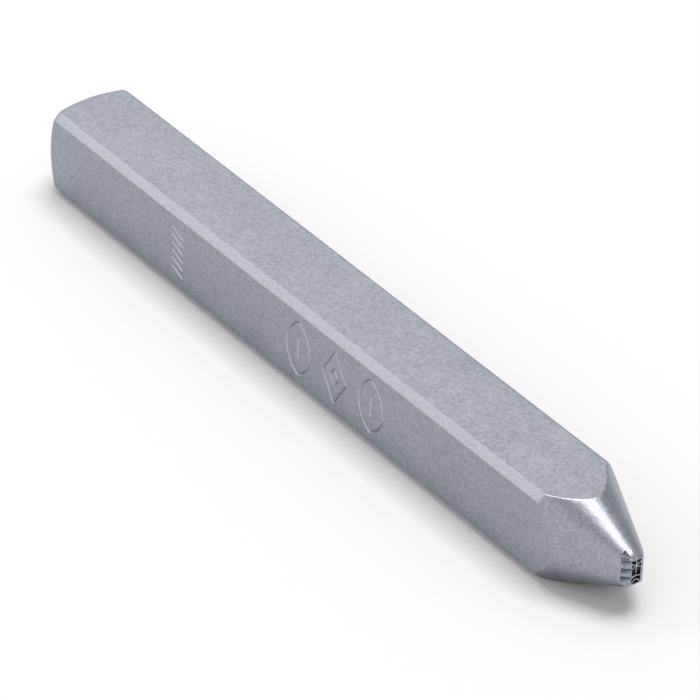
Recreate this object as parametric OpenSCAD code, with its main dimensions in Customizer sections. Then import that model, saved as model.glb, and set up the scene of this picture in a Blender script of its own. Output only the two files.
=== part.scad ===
// Steel hand stamp: one square bar with a crowned striking head, a turned
// nose and a small relief cut into its working face. It lies on one flat.
// +X runs along the bar towards the working face, +Z is up, and the origin is
// under the middle of the bar, on the surface that it lies on.

/* [Bar] */
// Length over the crown of the head and the working face
tool_length = 60.5; // [48:0.1:75]
// Width across the side flats
bar_width = 6.35; // [5:0.05:9]
// Height across the top and bottom flats
bar_height = 6.35; // [5:0.05:9]
// Leg of the 45 degree chamfer along each long edge
edge_chamfer = 0.5; // [0.2:0.01:0.8]

/* [Striking head] */
// Radius of the domed striking face
crown_radius = 6.8; // [6.6:0.1:20]
// Radius of the rounded rim between the dome and the flats
rim_radius = 0.95; // [0.3:0.05:1.2]
// How far the rim turns from the flat before the dome takes over, in degrees
rim_turn = 64; // [30:1:64]

/* [Nose] */
// Angle between the nose cone and its axis, seen from the side
nose_angle = 27.3; // [18:0.1:35]
// Half height of the cone where it reaches the working face
nose_end_radius = 1.11; // [1:0.01:1.4]
// Width of the cone as a share of its height
nose_squeeze = 0.885; // [0.8:0.005:1]
// Sideways shift of the nose's axis from the bar's axis
nose_shift_y = -0.2; // [-0.3:0.01:0.3]
// Upward shift of the nose's axis from the bar's axis
nose_shift_z = -0.05; // [-0.2:0.01:0.2]
// Angle between the axis and the top, bottom and far bevels of the tip
bevel_angle = 38.5; // [36:0.5:60]
// Angle between the axis and the tip's bevel on the engraved side
fluted_bevel_angle = 62; // [45:1:70]

/* [Working face] */
// Width of the working face, side to side
face_width = 0.98; // [0.8:0.01:1.2]
// Height of the working face, bottom to top
face_height = 1.95; // [1.6:0.01:2]
// Sideways shift of the working face from the bar's axis
face_shift_y = -0.135; // [-0.2:0.005:0]
// Upward shift of the working face from the bar's axis
face_shift_z = 0; // [-0.05:0.01:0.05]
// Wall left round the relief
face_border = 0.07; // [0.05:0.01:0.1]
// Depth of the sunk floor between the ribs
relief_depth = 0.25; // [0.1:0.01:0.4]
// Width of a rib of the relief
rib_width = 0.08; // [0.05:0.01:0.1]
// Rays of the star in the upper half of the relief
star_rays = 6; // [4:1:6]
// Width of the V flutes in the engraved side's bevel
flute_width = 0.44; // [0.2:0.01:0.48]
// Depth of the V flutes
flute_depth = 0.2; // [0.1:0.01:0.24]
// Length of a flute down the bevel, from the working face back
flute_run = 0.6; // [0.2:0.01:0.8]
// Number of flutes
flute_count = 3; // [1:1:3]
// Distance from one flute to the next
flute_pitch = 0.62; // [0.5:0.01:0.66]
// How far the middle of the row of flutes is above the middle of the working face
flute_lift = 0.2; // [0:0.01:0.3]
// Distance from one arch of the relief to the next
arch_pitch = 0.3; // [0.2:0.01:0.4]

/* [Side marks] */
// Width of the engraved V groove at the surface
groove_width = 0.22; // [0.12:0.01:0.3]
// Depth of the engraved V groove
groove_depth = 0.12; // [0.06:0.01:0.2]
// Height of each large outline figure
figure_height = 4.1; // [3:0.1:4.2]
// Width of each large outline figure
figure_width = 2.5; // [1.6:0.1:3.2]
// Distance from one large figure to the next
figure_pitch = 3.9; // [3.6:0.1:5]
// Distance from the working face to the middle figure
figure_setback = 26.9; // [18:0.1:30]
// Ticks in the small column of marks
tick_count = 6; // [2:1:7]
// Distance from one tick to the next
tick_pitch = 0.62; // [0.5:0.01:0.7]
// Length of a tick along the bar
tick_run = 1.3; // [0.6:0.1:2]
// Fall of a tick along its length
tick_fall = 0.5; // [0:0.05:0.8]
// Distance from the crown of the head to the column of ticks
tick_setback = 16.1; // [10:0.1:20]

/* [Hidden] */
$fn = 96;

STEEL = [0.65, 0.67, 0.71];

// Room that cutting solids reach past the surface they cut
past = 1;

face_x = tool_length / 2;
head_x = -tool_length / 2;
side_y = -bar_width / 2;

// Radius that clears the bar's section, corners included
clear_radius = norm([bar_width, bar_height]) / 2 + past;

figure_x = face_x - figure_setback;
tick_x = head_x + tick_setback;

// The dome drops from its crown by crown_drop(r) at radius r
function crown_drop(r) = crown_radius - sqrt(crown_radius * crown_radius - r * r);

// Along a flat at half-size h, the rim starts where its arc, turned by
// rim_turn, meets the dome
function rim_start(h) = head_x + rim_radius * sin(rim_turn)
    + crown_drop(h - rim_radius * (1 - cos(rim_turn)));

// Radius of an arc from its chord and its sagitta
function arc_radius(chord, sagitta) = (chord * chord / 4 + sagitta * sagitta) / (2 * sagitta);

// Bar outline seen square to a pair of flats that are size apart: rounded rim
// at the head end, and bevels down to the working face, which is tip_size
// across and shift off the axis. The bevels' angles are low and high.
module bar_outline(size, tip_size, shift, low, high) {
    h = size / 2;
    start = rim_start(h);
    tip_low = shift - tip_size / 2;
    tip_high = shift + tip_size / 2;
    translate([head_x - past, -(h - rim_radius)])
        square([start - head_x + past, 2 * (h - rim_radius)]);
    for (side = [-1, 1])
        translate([start, side * (h - rim_radius)])
            circle(rim_radius);
    polygon([
        [start, -h], [face_x - (h + tip_low) / tan(low), -h], [face_x, tip_low],
        [face_x, tip_high], [face_x - (h - tip_high) / tan(high), h], [start, h]
    ]);
}

// The two pairs of flats, each as its outline drawn through the bar
module flats() {
    intersection() {
        rotate([90, 0, 0])
            linear_extrude(2 * clear_radius, center = true)
                bar_outline(bar_height, face_height, face_shift_z, bevel_angle, bevel_angle);
        linear_extrude(2 * clear_radius, center = true)
            bar_outline(bar_width, face_width, face_shift_y, fluted_bevel_angle, bevel_angle);
    }
}

// Diamond section whose four sides are the planes of the long chamfers
module chamfer_planes() {
    reach = (bar_width + bar_height) / 2 - edge_chamfer;
    rotate([90, 0, 90])
        linear_extrude(2 * tool_length, center = true)
            polygon([[reach, 0], [0, reach], [-reach, 0], [0, -reach]]);
}

// Domed end of the head, with room round the rest of the bar
module head_dome() {
    dome_edge_x = head_x + crown_drop(min(clear_radius, 0.95 * crown_radius));
    rotate([0, 90, 0])
        rotate_extrude() {
            intersection() {
                translate([0, head_x + crown_radius])
                    circle(crown_radius);
                translate([0, head_x - past])
                    square([clear_radius, crown_radius + past]);
            }
            translate([0, dome_edge_x])
                square([clear_radius, face_x + past - dome_edge_x]);
        }
}

// Cone of the nose on its own axis, with room round the rest of the bar
module nose_cone() {
    back_radius = 2 * clear_radius;
    run = (back_radius - nose_end_radius) / tan(nose_angle);
    translate([face_x, nose_shift_y, nose_shift_z])
        scale([1, nose_squeeze, 1])
            rotate([0, 90, 0])
                rotate_extrude()
                    polygon([
                        [0, -2 * tool_length], [back_radius, -2 * tool_length], [back_radius, -run],
                        [nose_end_radius - past * tan(nose_angle), past], [0, past]
                    ]);
}

// Straight V groove in the side flat between points [x, z]
module groove(from, to) {
    run = norm(to - from);
    wide = groove_width / 2 * (1 + past / groove_depth);
    translate([from[0], side_y, from[1]])
        rotate([0, -atan2(to[1] - from[1], to[0] - from[0]), 0])
            rotate([90, 0, 90])
                linear_extrude(run)
                    polygon([[groove_depth, 0], [-past, wide], [-past, -wide]]);
}

// V groove that follows an arc of the given radius, turned from angle from to
// angle to round its centre on the side flat
module arc_groove(radius, from, to) {
    wide = groove_width / 2 * (1 + past / groove_depth);
    translate([0, side_y, 0])
        rotate([90, 0, 0])
            rotate([0, 0, from])
                rotate_extrude(angle = to - from)
                    polygon([[radius, -groove_depth], [radius + wide, past], [radius - wide, past]]);
}

// Leaf: two arcs that meet in a point above and below, with a vein
module leaf_figure() {
    radius = arc_radius(figure_height, figure_width / 2);
    half_turn = asin(figure_height / 2 / radius);
    for (turn = [0, 180])
        rotate([0, turn, 0])
            translate([figure_width / 2 - radius, 0, 0])
                arc_groove(radius, -half_turn, half_turn);
    groove([0, -figure_height / 6], [0, figure_height / 6]);
}

// Lozenge with a smaller one inside it
module lozenge_figure() {
    for (size = [1, 1 / 3]) {
        w = figure_width / 2 * size;
        h = figure_height / 2 * size;
        groove([-w, 0], [0, h]);
        groove([0, h], [w, 0]);
        groove([w, 0], [0, -h]);
        groove([0, -h], [-w, 0]);
    }
}

// Two leaves with a lozenge between them
module figure_row() {
    translate([figure_x - figure_pitch, 0, 0])
        leaf_figure();
    translate([figure_x, 0, 0])
        lozenge_figure();
    translate([figure_x + figure_pitch, 0, 0])
        leaf_figure();
}

// Column of slanted ticks near the head
module tick_column() {
    for (i = [0:tick_count - 1]) {
        z = (i - (tick_count - 1) / 2) * tick_pitch;
        groove([tick_x - tick_run / 2, z + tick_fall / 2], [tick_x + tick_run / 2, z - tick_fall / 2]);
    }
}

// Ribs of the relief seen from the front: a star above, arches below
module relief_ribs() {
    cell_height = face_height / 2 - face_border;
    translate([0, cell_height / 2])
        intersection() {
            square([face_width, cell_height], center = true);
            for (ray = [0:star_rays - 1])
                rotate(90 + ray * 360 / star_rays)
                    translate([0, -rib_width / 2])
                        square([face_height, rib_width]);
        }
    translate([0, -cell_height])
        for (radius = [arch_pitch:arch_pitch:cell_height])
            difference() {
                circle(radius + rib_width / 2);
                circle(radius - rib_width / 2);
            }
}

// Sunk floor of the working face, with the ribs left standing
module relief_pits() {
    translate([face_x - relief_depth, face_shift_y, face_shift_z])
        rotate([90, 0, 90])
            linear_extrude(relief_depth + past)
                difference() {
                    square([face_width - 2 * face_border, face_height - 2 * face_border], center = true);
                    relief_ribs();
                }
}

// V flutes down the engraved side's bevel, open at the working face
module tip_flutes() {
    wide = flute_width / 2 * (1 + past / flute_depth);
    for (i = [0:flute_count - 1]) {
        lift = flute_lift + (i - (flute_count - 1) / 2) * flute_pitch;
        translate([face_x, face_shift_y - face_width / 2, face_shift_z + lift])
            rotate([0, 0, 180 + fluted_bevel_angle])
                rotate([90, 0, 90])
                    translate([0, 0, -past])
                        linear_extrude(past + flute_run)
                            polygon([[-flute_depth, 0], [past, -wide], [past, wide]]);
    }
}

module stamp_body() {
    color(STEEL)
        translate([0, 0, bar_height / 2])
            difference() {
                intersection() {
                    flats();
                    chamfer_planes();
                    head_dome();
                    nose_cone();
                }
                figure_row();
                tick_column();
                relief_pits();
                tip_flutes();
            }
}

stamp_body();
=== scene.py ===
import math

import bmesh
import bpy
from mathutils import Matrix, Vector


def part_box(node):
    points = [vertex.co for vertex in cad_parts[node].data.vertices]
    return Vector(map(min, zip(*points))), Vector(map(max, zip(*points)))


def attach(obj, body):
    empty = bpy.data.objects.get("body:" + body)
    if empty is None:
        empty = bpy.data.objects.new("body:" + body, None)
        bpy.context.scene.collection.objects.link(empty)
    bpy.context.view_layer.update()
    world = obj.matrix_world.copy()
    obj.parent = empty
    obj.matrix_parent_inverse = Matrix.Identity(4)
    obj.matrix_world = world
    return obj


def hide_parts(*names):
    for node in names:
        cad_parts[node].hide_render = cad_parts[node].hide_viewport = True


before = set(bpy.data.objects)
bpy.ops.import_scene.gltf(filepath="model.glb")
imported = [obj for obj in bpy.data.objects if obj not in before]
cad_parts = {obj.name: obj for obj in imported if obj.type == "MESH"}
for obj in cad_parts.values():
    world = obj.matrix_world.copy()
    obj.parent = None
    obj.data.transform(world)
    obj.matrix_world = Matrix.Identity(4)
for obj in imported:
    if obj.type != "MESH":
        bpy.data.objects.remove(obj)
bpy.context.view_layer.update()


# --- Blank ---------------------------------------------------------------
# One length of square tool steel with a small chamfer along each long edge
# and a domed end that the hammer strikes. It is worked in millimetres on the
# bar's own axis, and the finished stamp is put in its place at the end.

low, high = (corner * 1000 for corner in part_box("stamp_body"))
head_x, face_x = low.x, high.x
half = (high.y - low.y) / 2

edge_chamfer = 0.5
edge_round = 0.08
crown_radius = 6.8
rim_radius = 0.95
rim_turn = math.radians(66)
rim_steps, dome_steps = 10, 15
ring_inset = 0.8
flat_cuts = 23
blank_past = 2
level_angle = 0.0005
along_bar = Matrix.Rotation(math.radians(90), 4, "Y")


def crown_drop(radius):
    """How far the dome falls back from its crown at that distance from the axis."""
    return crown_radius - math.sqrt(crown_radius ** 2 - radius ** 2)


def rim_size(turn):
    """Size of the bar's section where the rim has turned that far, as a share of the shank's."""
    return 1 - rim_radius * (1 - math.cos(turn)) / half


def grow_ring(bm, ring, x, size):
    """Extrudes a ring of edges to x, drawn in or out to size times as large, and gives the new ring."""
    made = bmesh.ops.extrude_edge_only(bm, edges=ring)["geom"]
    verts = [item for item in made if isinstance(item, bmesh.types.BMVert)]
    bmesh.ops.translate(bm, verts=verts, vec=(x - verts[0].co.x, 0, 0))
    bmesh.ops.scale(bm, verts=verts, vec=(1, size, size))
    return [item for item in made if isinstance(item, bmesh.types.BMEdge) and item.is_boundary]


blank = bmesh.new()
bmesh.ops.create_grid(blank, x_segments=1, y_segments=1, size=half, matrix=along_bar)
for offset, segments in ((edge_chamfer, 1), (edge_round, 3)):
    bmesh.ops.bevel(blank, geom=blank.verts[:], offset=offset, offset_type="OFFSET", segments=segments,
                    profile=0.5, material=-1, affect="VERTICES")
bmesh.ops.delete(blank, geom=blank.faces[:], context="FACES_ONLY")
flat_edges = [edge for edge in blank.edges if edge.calc_length() > 2 * edge_chamfer]
bmesh.ops.subdivide_edges(blank, edges=flat_edges, cuts=flat_cuts)
bmesh.ops.translate(blank, verts=blank.verts[:], vec=(head_x + rim_radius * math.sin(rim_turn), 0, 0))

shank_ring = blank.edges[:]
ring = shank_ring
dome_size = rim_size(rim_turn)
size = 1
for step in range(1, rim_steps + 1):
    turn = rim_turn * step / rim_steps
    ring_x = head_x + rim_radius * (math.sin(rim_turn) - math.sin(turn))
    ring = grow_ring(blank, ring, ring_x, rim_size(turn) / size)
    size = rim_size(turn)
rim_verts = set(blank.verts)
for step in range(dome_steps, 0, -1):
    new_size = dome_size * (step - ring_inset) / dome_steps
    ring = grow_ring(blank, ring, head_x, new_size / size)
    size = new_size
bmesh.ops.contextual_create(blank, geom=ring)
for vert in blank.verts:
    radius = math.hypot(vert.co.y, vert.co.z)
    if vert in rim_verts:
        turned = math.asin(math.sin(rim_turn) - (vert.co.x - head_x) / rim_radius)
        radius *= dome_size / rim_size(turned)
    vert.co.x += crown_drop(radius)

end_ring = grow_ring(blank, shank_ring, face_x + blank_past, 1)
for edge in end_ring:
    for vert in edge.verts:
        vert.co.x = face_x + blank_past
bmesh.ops.contextual_create(blank, geom=end_ring)
bmesh.ops.recalc_face_normals(blank, faces=blank.faces[:])
bmesh.ops.dissolve_limit(blank, angle_limit=level_angle, verts=blank.verts[:], edges=blank.edges[:])


# --- Nose ----------------------------------------------------------------
# The other end is turned to a cone, a little off the bar's axis and a little
# narrower than it is high, and four small bevels bring the cone down to the
# oblong working face. The cone's lines with the flats and near bevel are soft.

nose_angle = math.radians(27.3)
nose_end_radius = 1.11
nose_squeeze = 0.885
nose_y, nose_z = -0.2, -0.05
nose_past, nose_behind = 1, 9
nose_segments = 220
face_y, face_z = -0.135, 0
face_width, face_height = 0.98, 1.95
bevel_angle = math.radians(38.5)
near_angle = math.radians(62)
near_y = face_y - face_width / 2
near_normal = Vector((math.sin(near_angle), -math.cos(near_angle), 0))
line_start, line_end = 20, face_x - 2
line_limit, blend_limit = math.radians(12), math.radians(45)
bevel_round, near_round, scallop_round = 0.22, 0.3, 0.05
slack = 0.01
band_count, band_run = 15, 0.4
weld_distance = 0.0005


def slice_off(bm, point, normal):
    """Cuts off what lies beyond a plane, closes the cut and gives the new face."""
    everything = bm.verts[:] + bm.edges[:] + bm.faces[:]
    cut = bmesh.ops.bisect_plane(bm, geom=everything, plane_co=point, plane_no=normal, clear_outer=True)
    edges = [item for item in cut["geom_cut"] if isinstance(item, bmesh.types.BMEdge)]
    return bmesh.ops.contextual_create(bm, geom=edges)["faces"][0]


def round_edges(bm, edges, offset, segments, clamp_overlap=True):
    """Rounds those of the edges that earlier work has left in place."""
    left = [edge for edge in edges if edge.is_valid]
    bmesh.ops.bevel(bm, geom=left, offset=offset, offset_type="OFFSET", segments=segments,
                    profile=0.5, material=-1, affect="EDGES", clamp_overlap=clamp_overlap)


def stand_in(name, bm):
    """An object in the scene with that mesh."""
    mesh = bpy.data.meshes.new(name)
    bm.to_mesh(mesh)
    bm.free()
    made = bpy.data.objects.new(name, mesh)
    bpy.context.scene.collection.objects.link(made)
    return made


def combine(body, tool, operation):
    """Takes tool away from body, or keeps what both hold, and gives the mesh that is left."""
    body_object = stand_in("work", body)
    tool_object = stand_in("tool", tool)
    cut = body_object.modifiers.new("cut", "BOOLEAN")
    cut.operation = operation
    cut.solver = "EXACT"
    cut.use_self = True
    cut.object = tool_object
    result = bmesh.new()
    result.from_object(body_object, bpy.context.evaluated_depsgraph_get())
    for spent in (body_object, tool_object):
        mesh = spent.data
        bpy.data.objects.remove(spent)
        bpy.data.meshes.remove(mesh)
    bmesh.ops.remove_doubles(result, verts=result.verts[:], dist=weld_distance)
    return result


nose = bmesh.new()
nose_run = face_x - head_x + nose_behind + nose_past
front_radius = nose_end_radius - nose_past * math.tan(nose_angle)
bmesh.ops.create_cone(nose, cap_ends=True, cap_tris=False, segments=nose_segments, depth=nose_run,
                      radius1=front_radius + nose_run * math.tan(nose_angle), radius2=front_radius)
bmesh.ops.transform(nose, verts=nose.verts[:], matrix=(
    Matrix.Translation((face_x + nose_past - nose_run / 2, nose_y, nose_z))
    @ Matrix.Diagonal((1, nose_squeeze, 1, 1)) @ along_bar))
ahead, aside = math.sin(bevel_angle), math.cos(bevel_angle)
slice_off(nose, (face_x, face_y, face_z + face_height / 2), (ahead, 0, aside))
slice_off(nose, (face_x, face_y, face_z - face_height / 2), (ahead, 0, -aside))
slice_off(nose, (face_x, face_y + face_width / 2, face_z), (ahead, aside, 0))
near_bevel = slice_off(nose, (face_x, near_y, face_z), near_normal)
blend_edges = [edge for edge in near_bevel.edges if edge.calc_face_angle() < blend_limit]
working_face = slice_off(nose, (face_x, face_y, face_z), (1, 0, 0))
blend_edges = [edge for edge in blend_edges if edge.is_valid and working_face not in edge.link_faces]
round_edges(nose, blend_edges, bevel_round, 6)

stamp = combine(blank, nose, "INTERSECT")
scallops = [edge for edge in stamp.edges
            if edge.is_manifold and edge.calc_face_angle() > line_limit
            and line_start < edge.verts[0].co.x < line_end]
near_line = [edge for edge in scallops if max(vert.co.y for vert in edge.verts) < slack - half]
top_line = [edge for edge in scallops if min(vert.co.z for vert in edge.verts) > half - edge_chamfer - slack]
hidden_lines = [edge for edge in scallops if edge not in near_line and edge not in top_line]
round_edges(stamp, near_line, near_round, 6)
round_edges(stamp, hidden_lines, scallop_round, 2)
round_edges(stamp, top_line, scallop_round, 3, clamp_overlap=False)
for band in range(1, band_count + 1):
    bmesh.ops.bisect_plane(stamp, geom=stamp.verts[:] + stamp.edges[:] + stamp.faces[:],
                           plane_co=(face_x - band_run * band, 0, 0), plane_no=(1, 0, 0))


# --- Side marks ----------------------------------------------------------
# The maker's punches have struck V grooves into the near flat: two leaves
# with a lozenge between them, and a column of slanted ticks towards the head.

groove_width, groove_depth = 0.24, 0.13
figure_height, figure_width, figure_pitch = 4.1, 2.5, 3.9
figure_x = face_x - 26.9
tick_x = head_x + 16.1
tick_count, tick_pitch = 6, 0.62
tick_run, tick_fall = 1.3, 0.5
proud = 0.2
bow_steps = 28
crest_weld = 0.0001


def taper(bm, place, run, foot, crest_run, crest, height, bow=0):
    """A bar run long and foot wide that narrows over its height to its crest, bent to the radius bow."""
    made = bmesh.ops.create_grid(bm, x_segments=bow_steps if bow else 1, y_segments=1, size=0.5)
    bottom = made["verts"]
    bmesh.ops.scale(bm, verts=bottom, vec=(run, foot, 1))
    faces = list({face for vert in bottom for face in vert.link_faces})
    raised = bmesh.ops.extrude_face_region(bm, geom=faces)["geom"]
    top = [item for item in raised if isinstance(item, bmesh.types.BMVert)]
    bmesh.ops.scale(bm, verts=top, vec=(crest_run / run, crest / foot, 1))
    bmesh.ops.translate(bm, verts=top, vec=(0, 0, height))
    bmesh.ops.remove_doubles(bm, verts=top, dist=crest_weld)
    verts = bottom + [vert for vert in top if vert.is_valid]
    if bow:
        for vert in verts:
            turn = vert.co.x / bow
            reach = bow + vert.co.y
            vert.co.x = reach * math.sin(turn)
            vert.co.y = reach * math.cos(turn) - bow
    bmesh.ops.transform(bm, verts=verts, matrix=place)


def strike(bm, x, z, angle, run, bow=0):
    """A V groove in the near flat, its middle at x, z and its length turned by angle."""
    place = (Matrix.Translation((x, -half - proud, z)) @ Matrix.Rotation(math.radians(-90), 4, "X")
             @ Matrix.Rotation(angle, 4, "Z"))
    grow = 1 + proud / groove_depth
    taper(bm, place, run + 2 * proud, groove_width * grow, run - groove_depth, 0, proud + groove_depth, bow)


marks = bmesh.new()
bow = (figure_height ** 2 / 4 + figure_width ** 2 / 4) / figure_width
leaf_run = 2 * bow * math.asin(figure_height / 2 / bow)
for leaf_x in (figure_x - figure_pitch, figure_x + figure_pitch):
    for side in (-1, 1):
        strike(marks, leaf_x + side * figure_width / 2, 0, -side * math.pi / 2, leaf_run, bow)
    strike(marks, leaf_x, 0, math.pi / 2, figure_height / 3)
lean = math.atan2(figure_height, figure_width)
for size in (1, 1 / 3):
    run = math.hypot(figure_width, figure_height) / 2 * size
    for side_x in (-1, 1):
        for side_z in (-1, 1):
            strike(marks, figure_x + side_x * figure_width / 4 * size, side_z * figure_height / 4 * size,
                   side_x * side_z * lean, run)
for tick in range(tick_count):
    tick_z = (tick - (tick_count - 1) / 2) * tick_pitch
    strike(marks, tick_x, tick_z, math.atan2(tick_fall, tick_run), math.hypot(tick_fall, tick_run))
bmesh.ops.recalc_face_normals(marks, faces=marks.faces[:])
stamp = combine(stamp, marks, "DIFFERENCE")


# --- Relief --------------------------------------------------------------
# The working face is what prints in the leather. Its floor is sunk with fine
# gravers, which leaves a star and some arches standing. Three V flutes run
# back from it over the near bevel, and a notch crosses the corner above them.

relief_depth = 0.25
face_border, far_border = 0.07, 0.16
cell_height = face_height / 2 - face_border
cell_width = face_width - face_border - far_border
cell_y = face_y + (face_border - far_border) / 2
rib_foot, rib_crest = 0.18, 0.05
rib_root = 0.05
rib_height = relief_depth + 0.04
star_bars = 3
bar_run, bar_crest_run = 1.1, 1.08
arch_count, arch_pitch = 2, 0.3
flute_run, flute_width, flute_depth = 0.6, 0.44, 0.2
flute_lift, flute_pitch = 0.26, 0.62
flute_start, flute_dive = 0.12, 0.17
notch_bottom = (face_x - 0.15, near_y + 0.12, 1.06)
notch_along = (-0.95, -0.2, 0.17)
notch_normal = (0.22, -0.48, 0.86)

ribs = bmesh.new()
on_floor = Matrix.Translation((face_x - relief_depth - rib_root, cell_y, face_z)) @ along_bar
star_middle = on_floor @ Matrix.Translation((-cell_height / 2, 0, 0))
for bar in range(star_bars):
    place = star_middle @ Matrix.Rotation(math.radians(180 * bar / star_bars), 4, "Z")
    taper(ribs, place, bar_run, rib_foot, bar_crest_run, rib_crest, rib_height)
arch_middle = on_floor @ Matrix.Translation((cell_height, 0, 0)) @ Matrix.Rotation(math.radians(90), 4, "Z")
for arch in range(1, arch_count + 1):
    radius = arch_pitch * arch
    place = arch_middle @ Matrix.Translation((0, radius, 0))
    taper(ribs, place, math.pi * radius, rib_foot, math.pi * radius, rib_crest, rib_height, radius)
bmesh.ops.recalc_face_normals(ribs, faces=ribs.faces[:])

pits = bmesh.new()
bmesh.ops.create_cube(pits, size=1, matrix=(
    Matrix.Translation((face_x - relief_depth / 2 + proud / 2, cell_y, face_z))
    @ Matrix.Diagonal((relief_depth + proud, cell_width, 2 * cell_height, 1))))
pits = combine(pits, ribs, "DIFFERENCE")
stamp = combine(stamp, pits, "DIFFERENCE")


def flute(bm, bottom, along, normal):
    """A V flute in the surface with that normal; its bottom line starts at bottom and runs along."""
    along = Vector(along).normalized()
    inward = -Vector(normal)
    inward = (inward - along * inward.dot(along)).normalized()
    across = inward.cross(along)
    place = Matrix((along, across, inward)).transposed().to_4x4()
    place.translation = Vector(bottom) + along * (flute_run - proud) / 2 - inward * (flute_depth + proud)
    grow = 1 + proud / flute_depth
    taper(bm, place, flute_run + proud, flute_width * grow, flute_run + proud, 0, flute_depth + proud)


flutes = bmesh.new()
down_bevel = Vector((-math.cos(near_angle), -math.sin(near_angle), 0))
for lift in (flute_lift - flute_pitch, flute_lift, flute_lift + flute_pitch):
    bottom = Vector((face_x, near_y, face_z + lift)) - flute_start * near_normal
    flute(flutes, bottom, down_bevel - flute_dive * near_normal, near_normal)
flute(flutes, notch_bottom, notch_along, notch_normal)
bmesh.ops.recalc_face_normals(flutes, faces=flutes.faces[:])
stamp = combine(stamp, flutes, "DIFFERENCE")


# --- Finish --------------------------------------------------------------
# Bead blasting and plating leave a satin finish: a fine grain, faint clouds,
# speckled chamfers and turning marks on the nose. The chamfers also get a
# painted highlight, the groove walls a painted highlight, the face's rib crests
# are pale, and painted shade darkens grooves, relief and flutes.

dark_steel = (0.222, 0.236, 0.268, 1)
pale_steel = (0.408, 0.432, 0.49, 1)
# Chamfer colour: the chamfers' own speckled finish, lightened by a painted highlight where they face the
# lights.
chamfer_speckle_and_highlight = (0.46, 0.482, 0.53, 1)
# Painted highlight on the lit groove walls. The face's rib crests take the same pale colour.
wall_highlight_and_pale_crest = (0.62, 0.64, 0.68, 1)
# Painted shade for the shaded insides of the side grooves.
groove_painted_shade = (0.13, 0.14, 0.165, 1)
# Painted shade for the deep pits of the relief and the flutes.
recess_painted_shade = (0.03, 0.032, 0.04, 1)
wall_end, groove_end = 0.09, 0.3
rim_end, flat_start = head_x + 1.2, head_x + 3
flat_end, turned_start = face_x - 8, face_x - 6.2
crease_angle = math.radians(28)


class Flow:
    """A value or a vector on its way through the nodes, for writing shader sums as plain expressions."""

    def __init__(self, tree, socket):
        self.tree = tree
        self.socket = socket

    def node(self, kind, settings, inputs, output=0):
        """Adds a node, sets it up, joins its inputs and gives the flow out of it."""
        made = self.tree.nodes.new("ShaderNode" + kind)
        for name, value in settings.items():
            setattr(made, name, value)
        for name, value in inputs.items():
            if isinstance(value, Flow):
                self.tree.links.new(value.socket, made.inputs[name])
            else:
                made.inputs[name].default_value = value
        return Flow(self.tree, made.outputs[output])

    def sum(self, operation, first, second=0.0, clamp=False):
        """Works the operation on the two values in a Math node."""
        return self.node("Math", {"operation": operation, "use_clamp": clamp}, {0: first, 1: second})

    def __add__(self, other):
        return self.sum("ADD", self, other)

    def __radd__(self, other):
        return self.sum("ADD", other, self)

    def __sub__(self, other):
        return self.sum("SUBTRACT", self, other)

    def __rsub__(self, other):
        return self.sum("SUBTRACT", other, self)

    def __mul__(self, other):
        return self.sum("MULTIPLY", self, other)

    def __rmul__(self, other):
        return self.sum("MULTIPLY", other, self)

    def __abs__(self):
        return self.sum("ABSOLUTE", self)

    def larger(self, other):
        """The larger of the two values."""
        return self.sum("MAXIMUM", self, other)

    def over(self, start, width):
        """Rises from 0 at start to 1 over that width."""
        return self.sum("DIVIDE", self - start, width, clamp=True)

    def until(self, start, width):
        """Falls from 1 at start to 0 over that width."""
        return 1 - self.over(start, width)

    def noise(self, scale, detail, roughness=0.5):
        """Even noise about 0, with that many cells in a millimetre."""
        return self.node("TexNoise", {}, {"Vector": self, "Scale": scale, "Detail": detail,
                                          "Roughness": roughness}) - 0.5

    def blend(self, first, second):
        """Mixes two colours by this value."""
        return self.node("Mix", {"data_type": "RGBA"}, {0: self, 6: first, 7: second}, 2)


steel = bpy.data.materials.new("satin_steel")
steel.use_nodes = True
shader = steel.node_tree.nodes["Principled BSDF"]
start = Flow(steel.node_tree, None)
spot = start.node("TexCoord", {}, {}, "Object")
spot = start.node("VectorMath", {"operation": "SCALE"}, {0: spot, "Scale": 1000.0})
x, y, z = (start.node("SeparateXYZ", {}, {0: spot}, axis) for axis in range(3))
z = z - half
sunk = y + half
behind = face_x - x

grain = spot.noise(4.5, 3.0, 0.7)
speck = spot.noise(16.0, 2.0, 0.7)
clouds = spot.noise(0.55, 4.0, 0.6)
drift = spot.noise(0.12, 2.0)

rim_pull = 1.2 * x.until(rim_end, 1.0)
chamfers = (abs(y) + abs(z)).over(2 * half - edge_chamfer - 0.1 - rim_pull, 0.08)
chamfers = chamfers * abs(abs(y) - abs(z)).until(edge_chamfer - 0.03, 0.06)
on_shank = x.until(flat_end, 0.5)
near_flat = abs(z).until(half - edge_chamfer - 0.15, 0.05) * on_shank * x.over(flat_start, 1)
in_wall = sunk.over(0.01, 0.02) * sunk.until(wall_end, 0.04) * near_flat
in_groove = sunk.over(wall_end, 0.04) * sunk.until(groove_end, 0.1) * near_flat
in_cell = abs(y - cell_y).until(cell_width / 2 + 0.02, 0.02)
in_cell = in_cell * abs(z - face_z).until(cell_height + 0.02, 0.02)
in_relief = behind.over(0.05, 0.15) * behind.until(0.3, 0.05) * in_cell
on_crest = behind.until(0.005, 0.02) * in_cell
below_bevel = behind * math.sin(near_angle) + (y - near_y) * math.cos(near_angle)
down = behind * math.cos(near_angle) + (near_y - y) * math.sin(near_angle)
in_flute = below_bevel.over(0.05, 0.06) * down.over(0.0, 0.02) * down.until(flute_run, 0.02)
in_flute = in_flute * abs(z - face_z).until(face_height / 2 + 0.1, 0.02) * x.over(face_x - flute_run, 0.02)
turned = x.over(turned_start, 1.0)
rings = start.node("TexWave", {"bands_direction": "X"}, {
    "Vector": spot, "Scale": 3.2, "Distortion": 0.6, "Detail": 2.0, "Detail Scale": 4.0}) - 0.5

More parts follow.
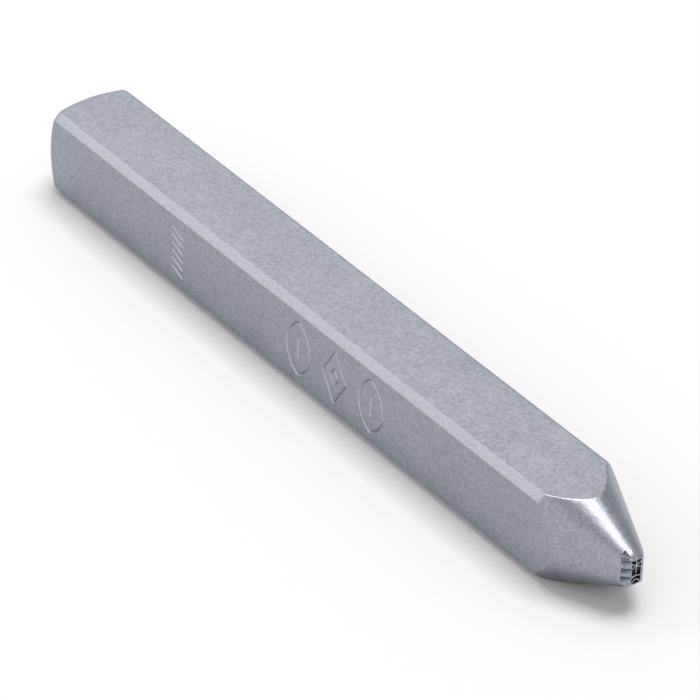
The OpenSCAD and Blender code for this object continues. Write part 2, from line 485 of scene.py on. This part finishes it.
shade = 0.5 + 0.3 * clouds + 0.15 * drift + 1.6 * grain
colour = shade.blend(dark_steel, pale_steel)
# Chamfers blend to a brighter colour: their speckled finish plus a painted highlight.
bright = (chamfers * (0.5 + 2.6 * speck)).blend(colour, chamfer_speckle_and_highlight)
# Painted highlight on the groove walls, and pale rib crests on the working face.
walled = (0.5 * in_wall + 0.7 * on_crest).blend(bright, wall_highlight_and_pale_crest)
# Painted shade darkens the grooves in the near flat.
groove_shaded = (0.3 * in_groove).blend(walled, groove_painted_shade)
# Painted shade darkens the relief pits and the flutes.
final = (0.45 * in_relief.larger(in_flute)).blend(groove_shaded, recess_painted_shade)
roughness = 0.4 + 0.12 * clouds + 0.15 * grain + 0.04 * chamfers - 0.08 * turned
height = grain + 0.7 * speck + 0.25 * turned * rings
bump = start.node("Bump", {}, {"Height": height, "Strength": 0.35, "Distance": 0.00004})
for name, flow in (("Base Color", final), ("Roughness", roughness), ("Normal", bump)):
    steel.node_tree.links.new(flow.socket, shader.inputs[name])
shader.inputs["Metallic"].default_value = 1.0

for face in stamp.faces:
    face.smooth = True
for edge in stamp.edges:
    edge.smooth = edge.is_manifold and edge.calc_face_angle() < crease_angle
bmesh.ops.transform(stamp, verts=stamp.verts[:], matrix=(
    Matrix.Scale(0.001, 4) @ Matrix.Translation((0, 0, half))))
stamp_steel = stand_in("stamp_steel", stamp)
stamp_steel.data.materials.append(steel)
normals = stamp_steel.modifiers.new("normals", "WEIGHTED_NORMAL")
normals.keep_sharp = True
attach(stamp_steel, "root")
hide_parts("stamp_body")


# --- Floor and lights ----------------------------------------------------
# A plain pale table in an even white room, with four soft lights: two from
# the head's side, a strong one overhead and a weak one in front of the near
# flat.

floor_radius = 2.5
floor_colour = (0.67, 0.67, 0.67, 1)
room_strength = 0.61

table = bmesh.new()
bmesh.ops.create_circle(table, cap_ends=True, segments=64, radius=floor_radius)
floor = stand_in("floor", table)
paint = bpy.data.materials.new("white_table")
paint.use_nodes = True
paint.node_tree.nodes["Principled BSDF"].inputs["Base Color"].default_value = floor_colour
paint.node_tree.nodes["Principled BSDF"].inputs["Roughness"].default_value = 0.9
floor.data.materials.append(paint)


def soft_light(name, toward, size, power):
    """A square soft light a metre off that shines on the stamp from that side."""
    lamp = bpy.data.lights.new(name, "AREA")
    lamp.size = size
    lamp.energy = power
    made = bpy.data.objects.new(name, lamp)
    bpy.context.scene.collection.objects.link(made)
    toward = Vector(toward).normalized()
    made.matrix_world = Matrix.Translation(toward) @ toward.to_track_quat("Z", "Y").to_matrix().to_4x4()


soft_light("left", (-0.72, 0.1, 0.6), 1.1, 2.6)
soft_light("key", (-0.643, -0.575, 0.506), 0.5, 1.15)
soft_light("overhead", (-0.03, 0.15, 0.97), 0.5, 7.3)
soft_light("front", (0.15, -0.9, 0.42), 0.8, 1.1)

room = bpy.data.worlds.new("room")
room.use_nodes = True
room.node_tree.nodes["Background"].inputs["Color"].default_value = (1, 1, 1, 1)
room.node_tree.nodes["Background"].inputs["Strength"].default_value = room_strength
bpy.context.scene.world = room
bpy.context.scene.view_settings.view_transform = "Standard"


# --- Camera --------------------------------------------------------------
# A long lens 0.31 m off looks down on the near flat and the working face,
# with the bar running from the head at the upper left to the nose.

azimuth, elevation, roll = math.radians(51.786), math.radians(35.111), math.radians(2.169)
distance, lens = 0.31303, 250.1
target = Vector((0.0033923, -0.0019648, 0.0048722))

back = Vector((math.sin(azimuth) * math.cos(elevation), -math.cos(azimuth) * math.cos(elevation),
               math.sin(elevation)))
level = Vector((math.cos(azimuth), math.sin(azimuth), 0))
rise = back.cross(level)
right = level * math.cos(roll) + rise * math.sin(roll)
up = rise * math.cos(roll) - level * math.sin(roll)
facing = Matrix((right, up, back)).transposed().to_4x4()
camera = bpy.data.objects.new("camera", bpy.data.cameras.new("camera"))
camera.data.lens = lens
camera.data.sensor_width = 36
camera.matrix_world = Matrix.Translation(target + back * distance) @ facing
bpy.context.scene.collection.objects.link(camera)
bpy.context.scene.camera = camera
